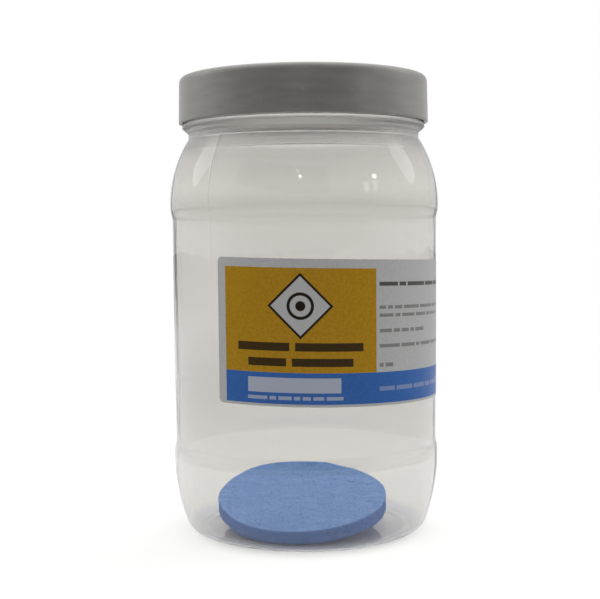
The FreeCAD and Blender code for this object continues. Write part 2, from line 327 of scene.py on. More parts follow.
def ease(outline, corner, reach, steps=4):
    """The outline with one corner rounded from reach before it to reach after it."""
    at = min(range(len(outline)), key=lambda n: math.dist(outline[n], corner))
    before, start = step_along(outline, at, -1, reach)
    after, end = step_along(outline, at, 1, reach)
    middle = Vector(outline[at])
    curve = []
    for n in range(steps + 1):
        share = n / steps
        curve.append(tuple(start.lerp(middle, share).lerp(middle.lerp(end, share), share)))
    return outline[: before + 1] + curve + outline[after:]


def fade(value, start, full):
    """Share that goes from 0 at start to 1 at full and is held outside them."""
    return min(1, max(0, (value - start) / (full - start)))


def make_mesh(name, vertices, faces, body, material, replaced):
    """Object from vertices in millimetres that stands for a CAD node."""
    mesh = bpy.data.meshes.new(name)
    mesh.from_pydata([tuple(c * MM for c in v) for v in vertices], [], faces)
    mesh.validate()
    mesh.shade_smooth()
    mesh.set_sharp_from_angle(angle=SHARP_ANGLE)
    mesh.materials.append(material)
    piece = bpy.data.objects.new(name, mesh)
    bpy.context.scene.collection.objects.link(piece)
    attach(piece, body)
    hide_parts(replaced)
    return piece


def around(radius, angle, height):
    """Point at an angle from the front, right positive."""
    return (radius * math.sin(angle), -radius * math.cos(angle), height)


def ring_faces(rows, count):
    """Faces over rows of points round an axis, closed by one point before them and one after them."""
    last = 1 + rows * count
    faces = []
    for n in range(count):
        m = (n + 1) % count
        faces.append((0, 1 + m, 1 + n))
        faces.append((last, last - count + n, last - count + m))
        for row in range(rows - 1):
            a, b = 1 + row * count, 1 + (row + 1) * count
            faces.append((a + n, a + m, b + m, b + n))
    return faces


def turned(outline, angles, shape):
    """Vertices and faces of an outline turned about the axis, where both its ends lie.

    shape(row, angle, radius, height) gives each point's own radius and height.
    """
    vertices = [(0, 0, outline[0][1])]
    rows = len(outline) - 2
    for row in range(1, rows + 1):
        for angle in angles:
            radius, height = shape(row, angle, *outline[row])
            vertices.append(around(radius, angle, height))
    vertices.append((0, 0, outline[-1][1]))
    return vertices, ring_faces(rows, len(angles))


def even_angles():
    """Angles all round, from the back."""
    return [2 * math.pi * n / AROUND - math.pi for n in range(AROUND)]


def ridge(angle, height, first_angle, first_height):
    """Height of the screw ridge at a place, from 0 to 1."""
    length = 2 * math.pi * THREAD_TURNS
    best = 0.0
    for turn in range(math.ceil(THREAD_TURNS)):
        along = (angle - first_angle) % (2 * math.pi) + 2 * math.pi * turn
        if along > length:
            continue
        away = abs(height - first_height - PITCH * along / (2 * math.pi))
        rise = fade(away, THREAD_BASE / 2, THREAD_CREST / 2)
        end = min(along, length - along) * FINISH_RADIUS / THREAD_FADE
        best = max(best, rise * min(1, end) ** 0.5)
    return best


# Jar

def neck_start(inset):
    """Height where the shoulder's arc meets the neck, at an inset from its outside."""
    reach = SHOULDER_ROUND - BUMPER_RADIUS + NECK_RADIUS - inset
    return SHOULDER_HEIGHT + math.sqrt((SHOULDER_ROUND - inset) ** 2 - reach**2)


def foot_radius(inset):
    """Radius where the push-up's slope meets the standing ring, at an inset from its outside."""
    return RING_INNER_RADIUS + inset * (1 - math.cos(BASE_SLOPE)) / math.sin(BASE_SLOPE)


def wall_corners(inset):
    """Jar's wall from the push-up's centre to the neck, at an inset from its outside."""
    sine, cosine = math.sin(BASE_SLOPE), math.cos(BASE_SLOPE)
    crown_height = (RING_INNER_RADIUS - CROWN_ROUND * sine) * math.tan(BASE_SLOPE)
    heel_step = BUMPER_RADIUS - RING_RADIUS
    heel_rise = BUMPER_HEIGHT - HEEL_ROUND
    belly_round = (heel_step**2 + heel_rise**2 - HEEL_ROUND**2) / (2 * (heel_step - HEEL_ROUND))
    heel_reach = (HEEL_ROUND - inset) / (belly_round - HEEL_ROUND)
    blend_rise = math.sqrt(4 * BUMPER_BLEND * BUMPER_STEP - BUMPER_STEP**2)
    blend_cosine = 1 - BUMPER_STEP / (2 * BUMPER_BLEND)
    blend_sine = blend_rise / (2 * BUMPER_BLEND)
    blend_middle = PANEL_RADIUS + BUMPER_STEP / 2 - inset * blend_cosine
    lower_blend = BUMPER_HEIGHT + BUMPER_LAND
    upper_blend = SHOULDER_HEIGHT - SHOULDER_LAND - blend_rise
    bumper, panel = BUMPER_RADIUS - inset, PANEL_RADIUS - inset
    outward, inward = BUMPER_BLEND - inset, BUMPER_BLEND + inset
    return [
        (0, crown_height + CROWN_ROUND * (1 - cosine) + inset),
        ((CROWN_ROUND + inset) * sine, crown_height + inset * cosine, CROWN_ROUND + inset, -1),
        (foot_radius(inset), inset),
        (RING_RADIUS, inset),
        (
            RING_RADIUS + heel_reach * (belly_round - heel_step),
            HEEL_ROUND - heel_reach * heel_rise,
            HEEL_ROUND - inset,
            1,
        ),
        (bumper, BUMPER_HEIGHT, belly_round - inset, 1),
        (bumper, lower_blend),
        (blend_middle, lower_blend + blend_rise / 2 - inset * blend_sine, outward, 1),
        (panel, lower_blend + blend_rise, inward, -1),
        (panel, upper_blend),
        (blend_middle, upper_blend + blend_rise / 2 + inset * blend_sine, inward, -1),
        (bumper, SHOULDER_HEIGHT - SHOULDER_LAND, outward, 1),
        (bumper, SHOULDER_HEIGHT),
        (NECK_RADIUS - inset, neck_start(inset), SHOULDER_ROUND - inset, 1),
    ]


def jar_outline():
    """Wall up the outside, over the rim and down the inside, and the row where the rim's rounding starts."""
    outside = trace(wall_corners(0), WALL_STEP)
    outside = ease(outside, (RING_INNER_RADIUS, 0), BASE_EDGE_ROUND * math.tan(BASE_SLOPE / 2))
    finish = trace([
        (NECK_RADIUS, neck_start(0)),
        (NECK_RADIUS, FINISH_START),
        (NECK_RING_RADIUS, SLANT_TOP),
        (NECK_RING_RADIUS, NECK_RING_TOP),
        (FINISH_RADIUS, NECK_RING_TOP),
        (FINISH_RADIUS, RIM_HEIGHT),
    ], FINISH_STEP)
    outside += finish[1:]
    lean = math.acos((SHOULDER_ROUND - BUMPER_RADIUS + NECK_RADIUS) / SHOULDER_ROUND)
    outside = ease(outside, (NECK_RADIUS, neck_start(0)), NECK_ROUND * math.tan(lean / 2))
    outside = ease(outside, (NECK_RING_RADIUS, SLANT_TOP), BEVEL)
    outside = ease(outside, (NECK_RING_RADIUS, NECK_RING_TOP), NECK_RING_ROUND, ROUND_STEPS)
    inside = trace(wall_corners(WALL), WALL_STEP)
    inside = ease(inside, (foot_radius(WALL), WALL), (BASE_EDGE_ROUND - WALL) * math.tan(BASE_SLOPE / 2))
    inside += trace([(MOUTH_RADIUS, neck_start(WALL)), (MOUTH_RADIUS, RIM_HEIGHT)], MOUTH_STEP)[1:]
    inside = ease(inside, (MOUTH_RADIUS, neck_start(WALL)), (NECK_ROUND + WALL) * math.tan(lean / 2))
    whole = outside + inside[::-1]
    rim_row = step_along(whole, len(outside) - 1, -1, BEVEL)[0] + 1
    whole = ease(whole, (FINISH_RADIUS, RIM_HEIGHT), BEVEL)
    return ease(whole, (MOUTH_RADIUS, RIM_HEIGHT), BEVEL / 2), rim_row


def jar_angles():
    """Even angles, with finer ones across each parting line."""
    lines = [math.radians(degrees) for degrees, _ in PARTING_LINES]
    offsets = [side * column / PANEL_RADIUS for column in PARTING_COLUMNS for side in (-1, 1)]
    fine = {line + offset for line in lines for offset in offsets}
    clear = PARTING_CLEAR / PANEL_RADIUS
    plain = [angle for angle in even_angles() if min(abs(angle - line) for line in lines) > clear]
    return sorted([*plain, *fine])


def streak(angle, height, size, start=(0, 0)):
    """Noise on the wall, from -1 to 1, in streaks of a width and a length."""
    width, length = size
    x, y, _ = around(PANEL_RADIUS / width, angle, height)
    return noise.noise(Vector((x + start[0], y + start[1], height / length)))


def wave(angle, height):
    """Unevenness of the blown wall: streaks that run up it, and finer ones over them."""
    fine = streak(angle, height, FINE_STREAK_SIZE, start=(7, 3))
    return streak(angle, height, STREAK_SIZE) + FINE_STREAK_SHARE * fine


def make_jar(material):
    """Blown shell with its parting lines, its uneven inside and the screw ridge on its finish."""
    outline, rim_row = jar_outline()
    streaks_end, streaks_full = (RIM_HEIGHT - below for below in STREAK_FADE_BELOW_RIM)

    def parting(angle, radius, height):
        keep = fade(height, BUMPER_HEIGHT, BUMPER_HEIGHT + PARTING_FADE)
        keep *= fade(height, FINISH_START, FINISH_START - PARTING_NECK_FADE)
        shoulder = fade(height, SHOULDER_HEIGHT - PARTING_FADE, SHOULDER_HEIGHT)
        keep *= PARTING_PANEL_SHARE + (1 - PARTING_PANEL_SHARE) * shoulder
        for degrees, ridge_height in PARTING_LINES:
            away = abs(angle - math.radians(degrees)) * radius
            radius += ridge_height * keep * math.exp(-((away / PARTING_WIDTH) ** 2))
        return radius

    def shape(row, angle, radius, height):
        if row >= rim_row:
            hold = fade(height, streaks_end, streaks_full) * fade(radius, 0, STREAK_FADE_RADIUS)
            return radius + STREAK_DEPTH * hold * wave(angle, height), height
        if height > NECK_RING_TOP + THREAD_CLEAR:
            return radius + THREAD_DEPTH * ridge(angle, height, 0, THREAD_START), height
        return parting(angle, radius, height), height

    vertices, faces = turned(outline, jar_angles(), shape)
    return make_mesh("jar_shell", vertices, faces, "jar_body", material, "jar")


# Lid and liner

def lid_outline():
    """Lid from its ceiling's middle down the bore, over the lip, up the skirt and in to the gate mark."""
    ceiling = trace([(0, LID_CEILING), (BORE_RADIUS, LID_CEILING)], TOP_STEP)
    bore = trace([
        (BORE_RADIUS, LID_CEILING),
        (BORE_RADIUS, RIM_HEIGHT),
        (BORE_RADIUS - LID_RIB_DEPTH, RIM_HEIGHT),
        (BORE_RADIUS, RIM_HEIGHT - LID_RIB_HEIGHT),
        (BORE_RADIUS, LID_LOW),
    ], FINISH_STEP)
    top_radius = LID_RADIUS - LID_DRAFT
    skirt = trace([(BORE_RADIUS, LID_LOW), (LID_RADIUS, LID_LOW), (top_radius, LID_TOP)], SKIRT_STEP)
    top = trace([(top_radius, LID_TOP), (GATE_RADIUS, LID_TOP)], TOP_STEP)
    gate = [(GATE_RADIUS * share, LID_TOP - GATE_DEPTH * depth) for share, depth in GATE_OUTLINE]
    outline = ceiling + bore[1:] + skirt[1:] + top[1:] + gate
    outline = ease(outline, (top_radius, LID_TOP), LID_EDGE_ROUND, ROUND_STEPS)
    outline = ease(outline, (LID_RADIUS, LID_LOW), LID_LIP_BEVEL)
    return ease(outline, (BORE_RADIUS, LID_LOW), LID_LIP_BEVEL)


def make_lid(material):
    """Screw cap with its draft, its screw ridge inside and the mould's gate mark on top."""
    thread_top = RIM_HEIGHT - LID_RIB_HEIGHT - THREAD_CLEAR
    first_angle = 2 * math.pi * LID_THREAD_LATER
    first_height = THREAD_START + PITCH * (LID_THREAD_LATER - 0.5)

    def shape(row, angle, radius, height):
        on_bore = math.isclose(radius, BORE_RADIUS, abs_tol=0.01)
        if on_bore and height < thread_top:
            radius -= THREAD_DEPTH * ridge(angle, height, first_angle, first_height)
        return radius, height

    vertices, faces = turned(lid_outline(), even_angles(), shape)
    return make_mesh("screw_lid", vertices, faces, "lid_body", material, "lid")


def make_liner(material):
    """Foam disc with soft edges and the jar rim's dent in its underside."""
    rim = (MOUTH_RADIUS + FINISH_RADIUS) / 2
    edge = LINER_RADIUS - LINER_EDGE
    outline = trace([(0, LINER_LOW), (rim + DENT_INNER_SLOPE[0], LINER_LOW)], LINER_STEP)
    outline += [
        (rim + DENT_INNER_SLOPE[1], LINER_LOW + LINER_DENT),
        (rim + DENT_OUTER_SLOPE[0], LINER_LOW + LINER_DENT),
        (rim + DENT_OUTER_SLOPE[1], LINER_LOW),
        (edge, LINER_LOW),
        (LINER_RADIUS, LINER_LOW + LINER_EDGE_HEIGHT),
        (LINER_RADIUS, LINER_TOP - LINER_EDGE_HEIGHT),
    ]
    outline += trace([(edge, LINER_TOP), (0, LINER_TOP)], LINER_STEP)
    vertices, faces = turned(outline, even_angles(), lambda row, angle, radius, height: (radius, height))
    return make_mesh("foam_liner", vertices, faces, "liner_body", material, "lid_liner")


# Label

def label_columns():
    """Distances along the label in millimetres, finer across its rounded ends."""
    left, right = (math.radians(a) * LABEL_BACK for a in (LABEL_LEFT, LABEL_RIGHT))
    quarter = [math.pi / 2 * n / LABEL_CORNER_COLUMNS for n in range(LABEL_CORNER_COLUMNS + 1)]
    bends = [LABEL_CORNER * (1 - math.cos(turn)) for turn in quarter]
    straight = right - left - 2 * LABEL_CORNER
    inner = [left + LABEL_CORNER + straight * n / LABEL_COLUMNS for n in range(1, LABEL_COLUMNS)]
    return [left + b for b in bends] + inner + [right - b for b in reversed(bends)]


def make_label(printed, plain):
    """Printed strip wound round the panel, with the places along and up it kept for its print."""
    columns = label_columns()
    count = LABEL_ROWS + 1
    vertices, places = [], []
    for radius in (LABEL_BACK, LABEL_BACK + LABEL_THICKNESS):
        for along in columns:
            end = LABEL_CORNER - min(LABEL_CORNER, along - columns[0], columns[-1] - along)
            trim = LABEL_CORNER - math.sqrt(LABEL_CORNER**2 - end**2)
            angle = along / LABEL_BACK
            base = LABEL_FRONT_HEIGHT - LABEL_FALL_PER_TURN * angle / (2 * math.pi)
            for row in range(count):
                up = trim + (LABEL_HEIGHT - 2 * trim) * row / LABEL_ROWS
                vertices.append(around(radius, angle, base + up))
                places.append((along, up))
    layer = len(columns) * count
    faces = []
    for column in range(len(columns) - 1):
        low, high = column * count, column * count + LABEL_ROWS
        for a in range(low, high):
            b = a + count
            faces.append((a, a + 1, b + 1, b))
            faces.append((layer + a, layer + b, layer + b + 1, layer + a + 1))
        faces.append((low, low + count, layer + low + count, layer + low))
        faces.append((high, layer + high, layer + high + count, high + count))
    for start, flip in ((0, False), ((len(columns) - 1) * count, True)):
        for a in range(start, start + LABEL_ROWS):
            side = (a, layer + a, layer + a + 1, a + 1)
            faces.append(side[::-1] if flip else side)
    piece = make_mesh("printed_label", vertices, faces, "jar_body", printed, "label")
    piece.data.materials.append(plain)
    for face in piece.data.polygons:
        face.material_index = int(all(v < layer for v in face.vertices))
    print_map = piece.data.uv_layers.new(name="print_mm")
    for loop in piece.data.loops:
        print_map.data[loop.index].uv = places[loop.vertex_index]
    return piece


# Pad

def pad_seat():
    """Placement of the pad's own plane: the middle of its solid's top face, its plane turned to that tilt."""
    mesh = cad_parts["absorbent_pad"].data
    top = [p for p in mesh.polygons if p.normal.z > 0.9]
    normal = sum((p.normal * p.area for p in top), Vector()).normalized()
    corners = [mesh.vertices[v].co for p in top for v in p.vertices]
    low = Vector(min(c[n] for c in corners) for n in range(3))
    high = Vector(max(c[n] for c in corners) for n in range(3))
    tilt = Vector((0, 0, 1)).rotation_difference(normal).to_matrix().to_4x4()
    return Matrix.Translation((low + high) / 2 / MM) @ tilt


def pad_edge():
    """Points all round the hand-cut outline, in the pad's own plane."""
    edge = []
    for n in range(PAD_AROUND):
        angle = 2 * math.pi * n / PAD_AROUND
        radius = PAD_RADIUS
        for waves, height, crest in PAD_WAVES:
            radius += height * math.cos(waves * (angle - math.radians(crest)))
        edge.append(Vector((math.cos(angle), math.sin(angle))) * radius)
    return edge


def pad_surface(x, y):
    """How far the foam's skin stands off its plane: a swell, wrinkles, pores and the bend at the back.

    The third number of each place picks a level of the noise.
    """
    swell = PAD_SWELL * noise.noise(Vector((x / PAD_SWELL_SIZE[0], y / PAD_SWELL_SIZE[1], 1.5)))
    wrinkle = PAD_WRINKLE * noise.noise(Vector((x / PAD_WRINKLE_SIZE[0], y / PAD_WRINKLE_SIZE[1], 4.2)))
    nearest = noise.voronoi(Vector((x / PAD_PORE_SPACING, y / PAD_PORE_SPACING, 0.5)))[0][0]
    pore = -PAD_PORE * max(0, 1 - nearest / PAD_PORE_SHARE)
    return swell + wrinkle + pore + PAD_BEND * max(0, y - PAD_BEND_START) ** 2


def pad_rings():
    """Rings of the skin from the top's middle to the bottom's: the part each is on, and how far along it."""
    inner = [(n / PAD_RINGS) ** PAD_RING_POWER for n in range(1, PAD_RINGS + 1)]
    rings = [("top", share) for share in inner]
    rings += [("edge", share) for share in (0.3, 0.6, 1.0)]
    rings += [("side", share) for share in (0.12, 0.25, 0.38, 0.5, 0.62, 0.75, 0.88)]
    rings += [("heel", share) for share in (0.0, 0.5, 1.0)]
    # The bottom is plain, so it has a third of the top's rings.
    return rings + [("bottom", share) for share in inner[::-3]]


def ring_place(part, share, full):
    """Radius of a ring and its depth below the top, where the outline's own radius is full."""
    near = PAD_EDGE_ROUND * (1 - math.sin(math.pi / 2 * share))
    far = PAD_EDGE_ROUND * (1 - math.cos(math.pi / 2 * share))
    if part == "top":
        return (full - PAD_EDGE_ROUND) * share, 0
    if part == "edge":
        return full - near, far
    if part == "side":
        return full, PAD_EDGE_ROUND + (PAD_THICKNESS - 2 * PAD_EDGE_ROUND) * share
    if part == "heel":
        return full - far, PAD_THICKNESS - near
    return (full - PAD_EDGE_ROUND) * share, PAD_THICKNESS


def make_pad(material):
    """Soft foam disc with a hand-cut outline, softened edges and a porous skin."""
    edge, rings = pad_edge(), pad_rings()
    across, down = PAD_CUT_SIZE
    vertices = [(0, 0, pad_surface(0, 0))]
    for part, share in rings:
        for corner in edge:
            full = corner.length
            radius, depth = ring_place(part, share, full)
            x, y = corner * (radius / full)
            if part in ("edge", "side", "heel"):
                wobble = PAD_CUT * noise.noise(Vector((x / across, y / across, depth / down)))
                x, y = x * (1 + wobble / full), y * (1 + wobble / full)
            lift = pad_surface(x, y) * (1 - depth / PAD_THICKNESS)
            vertices.append((x, y, lift - depth))
    vertices.append((0, 0, -PAD_THICKNESS))
    seat = pad_seat()
    placed = [tuple(seat @ Vector(v)) for v in vertices]
    # The pad's points go round the other way, so its faces are turned over.
    faces = [face[:1] + face[:0:-1] for face in ring_faces(len(rings), len(edge))]
    piece = make_mesh("foam_pad", placed, faces, "jar_body", material, "absorbent_pad")
    return piece


# Materials

def linear(color):
    """Scene colour of an sRGB colour given in 0 to 255."""
    parts = [c / 255 for c in color]
    return tuple(c / 12.92 if c <= 0.04045 else ((c + 0.055) / 1.055) ** 2.4 for c in parts) + (1.0,)


class Nodes:
    """A node tree, with short calls for the nodes that materials and the world share."""

    def __init__(self, tree):
        self.tree = tree

    def feed(self, socket, value):
        """Link an output to the socket, or set its plain value."""
        if isinstance(value, bpy.types.NodeSocket):
            self.tree.links.new(value, socket)
        else:
            socket.default_value = value

    def node(self, kind, inputs=(), **settings):
        """New node with its settings and its inputs by name or place."""
        made = self.tree.nodes.new(kind)
        for name, value in settings.items():
            setattr(made, name, value)
        for key, value in dict(inputs).items():
            self.feed(made.inputs[key], value)
        return made

    def math(self, operation, *values):
        """Result of a Math node on outputs or numbers."""
        return self.node("ShaderNodeMath", enumerate(values), operation=operation).outputs[0]

    def ramp(self, value, low, high, to_low=0.0, to_high=1.0, kind="SMOOTHSTEP"):
        """Value carried from one range to another and held outside it, eased at both ends or linear."""
        inputs = {"Value": value, "From Min": low, "From Max": high, "To Min": to_low, "To Max": to_high}
        return self.node("ShaderNodeMapRange", inputs, interpolation_type=kind).outputs["Result"]

    def parts(self, vector):
        """Outputs X, Y and Z of a vector."""
        return self.node("ShaderNodeSeparateXYZ", {"Vector": vector}).outputs

    def mix(self, share, first, second):
        """Colour between two colours, each an output or an sRGB colour in 0 to 255."""
        made = self.node("ShaderNodeMix", data_type="RGBA", blend_type="MIX")
        self.feed(made.inputs[0], share)
        for socket, color in zip((made.inputs[6], made.inputs[7]), (first, second)):
            self.feed(socket, linear(color) if isinstance(color, tuple) else color)
        return made.outputs[2]

    def cover(self, mask, share, under, over):
        """Colour with a share of another over it where a mask is full."""
        return self.mix(self.math("MULTIPLY", mask, share), under, over)

    def either(self, share, first, second):
        """Shader between two shaders."""
        return self.node("ShaderNodeMixShader", {0: share, 1: first, 2: second}).outputs[0]

    def white(self, kind, strength):
        """White glow of a strength: an Emission or a Background."""
        return self.node("ShaderNode" + kind, {"Color": (1, 1, 1, 1), "Strength": strength}).outputs[0]


class Finish(Nodes):
    """A material's nodes, with places on the object in metres and textures on them."""

    def __init__(self, name, color, roughness):
        self.material = bpy.data.materials.new(name)
        self.material.use_nodes = True
        super().__init__(self.material.node_tree)
        self.shader = self.tree.nodes["Principled BSDF"]
        self.give("Base Color", linear(color))
        self.give("Roughness", roughness)

    def give(self, name, value):
        """Set or link one of the main shader's inputs."""
        self.feed(self.shader.inputs[name], value)

    def show(self, shader):
        """Make a shader the material's surface."""
        self.feed(self.tree.nodes["Material Output"].inputs["Surface"], shader)

    def place(self, stretch=(1, 1, 1)):
        """Place on the object in metres, stretched along each axis."""
        where = self.node("ShaderNodeTexCoord").outputs["Object"]
        return self.node("ShaderNodeMapping", {"Vector": where, "Scale": stretch}).outputs["Vector"]

    def away(self, middle):
        """Level distance from a place on the floor, in metres."""
        ends = {0: self.place((1, 1, 0)), 1: middle}
        return self.node("ShaderNodeVectorMath", ends, operation="DISTANCE").outputs["Value"]

    def noise(self, scale, detail=3.0, stretch=(1, 1, 1), roughness=0.5):
        """Noise on the object, with scale in cycles a metre."""
        inputs = {"Vector": self.place(stretch), "Scale": scale, "Detail": detail, "Roughness": roughness}
        return self.node("ShaderNodeTexNoise", inputs).outputs["Fac"]

    def cells(self, scale):
        """Distance to the nearest cell's middle, with scale in cells a metre."""
        return self.node("ShaderNodeTexVoronoi", {"Vector": self.place(), "Scale": scale}).outputs["Distance"]

    def bump(self, height, distance, strength=1.0, under=None):
        """Bump of a height in metres, over another bump where one is given."""
        inputs = {"Height": height, "Distance": distance, "Strength": strength}
        if under is not None:
            inputs["Normal"] = under
        return self.node("ShaderNodeBump", inputs).outputs["Normal"]


def wall_tint(made, height):
    """Faint tint of the blown wall by height."""
    share = made.ramp(height, 0.0, TINT_TOP * MM, kind="LINEAR")
    tint = made.node("ShaderNodeValToRGB", {"Fac": share})
    stops = tint.color_ramp.elements
    stops.remove(stops[0])
    for n, (at, color) in enumerate(WALL_TINTS):
        stop = stops[0] if n == 0 else stops.new(at / TINT_TOP)
        stop.position = at / TINT_TOP
        stop.color = linear(color)
    return tint.outputs["Color"]


def painted_pad_shadow(made, height):
    """Share of the pad's painted shadow and reflection: full on the base under the pad, faint at the foot of
    the heel.
    """
    level = made.ramp(made.away(PAD_SHADOW_MIDDLE), *PAD_SHADOW_OUTWARD, 1.0, 0.0)
    push_up = made.math("MULTIPLY", level, made.ramp(height, *PAD_SHADOW_UPWARD, 1.0, 0.0))
    return made.math("MAXIMUM", push_up, made.ramp(height, *PAD_SHADOW_UP_HEEL, PAD_SHADOW_HEEL_SHARE, 0.0))


def clear_plastic():
    """Clear blown plastic: faint streaks up the wall, a hazy neck with fine rings, and light let through."""
    made = Finish("clear_plastic", (229, 226, 222), 0.03)
    made.give("Transmission Weight", 1.0)
    made.give("IOR", 1.5)
    height = made.parts(made.place())["Z"]
    at_neck = made.ramp(height, (NECK_HAZE - NECK_HAZE_EDGE) * MM, (NECK_HAZE + NECK_HAZE_EDGE) * MM)
    at_finish = made.ramp(height, FINISH_HAZE * MM, FINISH_START * MM)
    thick = made.math("MAXIMUM", made.math("MULTIPLY", at_neck, 0.5), at_finish)
    below_ring = made.math("SUBTRACT", at_neck, at_finish)
    # The pad's painted shadow and reflection, in lavender, laid over the wall's tint.
    shaded = made.mix(painted_pad_shadow(made, height), wall_tint(made, height), (180, 187, 218))
    made.give("Base Color", made.mix(below_ring, shaded, (213, 210, 206)))
    streaks = made.noise(90, detail=2.0, stretch=(1, 1, 0.25))
    rings = made.noise(420, stretch=(0.04, 0.04, 1))
    uneven = made.bump(streaks, distance=0.0004, strength=0.4)
    ringed = made.math("MULTIPLY", rings, thick)
    made.give("Normal", made.bump(ringed, distance=0.0008, strength=0.45, under=uneven))
    scuffs = made.noise(700, detail=4.0, stretch=(1, 1, 0.4), roughness=0.7)
    scuffed = made.ramp(scuffs, 0.5, 0.75, to_low=0.02, to_high=0.07)
    haze = made.math("MULTIPLY", thick, made.ramp(rings, 0.3, 0.7, to_low=0.32, to_high=0.44))
    made.give("Roughness", made.math("MAXIMUM", scuffed, haze))
    path = made.node("ShaderNodeLightPath").outputs
    from_lamp = made.math("MAXIMUM", path["Is Shadow Ray"], path["Is Diffuse Ray"])
    open_way = made.node("ShaderNodeBsdfTransparent", {"Color": linear((251, 251, 250))}).outputs[0]
    made.show(made.either(from_lamp, made.shader.outputs[0], open_way))
    return made.material


def lid_plastic():
    """Satin moulded plastic: fine grain, faint flow marks round the skirt and light scuffs."""
    made = Finish("lid_plastic", (97, 96, 91), 0.35)
    made.give("Specular IOR Level", 0.66)
    made.give("Sheen Weight", 0.2)
    made.give("Sheen Roughness", 0.35)
    flow = made.noise(60, stretch=(1, 1, 5))
    tint = made.mix(made.ramp(flow, 0.3, 0.75), (92, 91, 86), (101, 100, 95))
    scuffs = made.noise(420, detail=5.0, stretch=(1, 1, 0.6), roughness=0.65)
    made.give("Base Color", made.cover(made.ramp(scuffs, 0.62, 0.75), 0.35, tint, (140, 139, 135)))
    grain = made.noise(2600, detail=2.0)
    made.give("Roughness", made.ramp(grain, 0.3, 0.7, to_low=0.28, to_high=0.38))
    marks = made.bump(flow, distance=0.0003, strength=0.15)
    made.give("Normal", made.bump(grain, distance=0.00005, strength=0.5, under=marks))
    return made.material


def liner_foam():
    """Closed-cell foam: small cells and a dull skin."""
    made = Finish("liner_foam", (205, 205, 200), 0.8)
    made.give("Base Color", made.mix(made.noise(120), (196, 196, 190), (212, 212, 207)))
    made.give("Normal", made.bump(made.cells(1400), distance=0.0002, strength=0.5))
    return made.material


def pad_foam():
    """Soft open-cell foam: small open pores with painted shade, speckles and a cloudy colour, darker on the
    cut side, partly as painted shade.
    """
    made = Finish("pad_foam", (110, 142, 190), 0.92)
    made.give("Specular IOR Level", 0.15)
    cloudy = made.ramp(made.noise(110, detail=4.0), 0.3, 0.7)
    skin = made.mix(cloudy, (93, 130, 189), (105, 141, 199))
    fine = made.noise(900, detail=4.0, roughness=0.75)
    speckled = made.mix(made.ramp(fine, 0.4, 0.7, to_high=0.75), skin, (129, 160, 209))
    # Faces that don't look up are darker: partly the cut foam's own colour, partly painted shade of the light
    # from above.
    facing = made.parts(made.node("ShaderNodeNewGeometry").outputs["Normal"])["Z"]
    cut = made.ramp(facing, 0.25, 0.8, 1.0, 0.0)
    cut_and_shaded_sides = made.cover(cut, 0.75, speckled, (62, 97, 166))
    # Pores are darker: painted shade in the pits.
    pore = made.ramp(made.cells(330), 0.07, 0.22, 1.0, 0.0)
    made.give("Base Color", made.cover(pore, 0.45, cut_and_shaded_sides, (62, 90, 142)))
    wrinkles = made.noise(260, detail=2.0, stretch=(0.5, 1, 1))
    soft = made.bump(wrinkles, distance=0.002, strength=0.9)
    rough = made.bump(fine, distance=0.0009, under=soft)
    made.give("Normal", made.bump(pore, distance=-0.0008, under=rough))
    return made.material


def row_words(low, high, lengths):
    """Bars for a row's words, from the text's left side."""
    words, start = [], TEXT_LEFT
    for length in lengths:
        words.append((start, start + length, low, high))
        start += length + TEXT_GAP
    return words


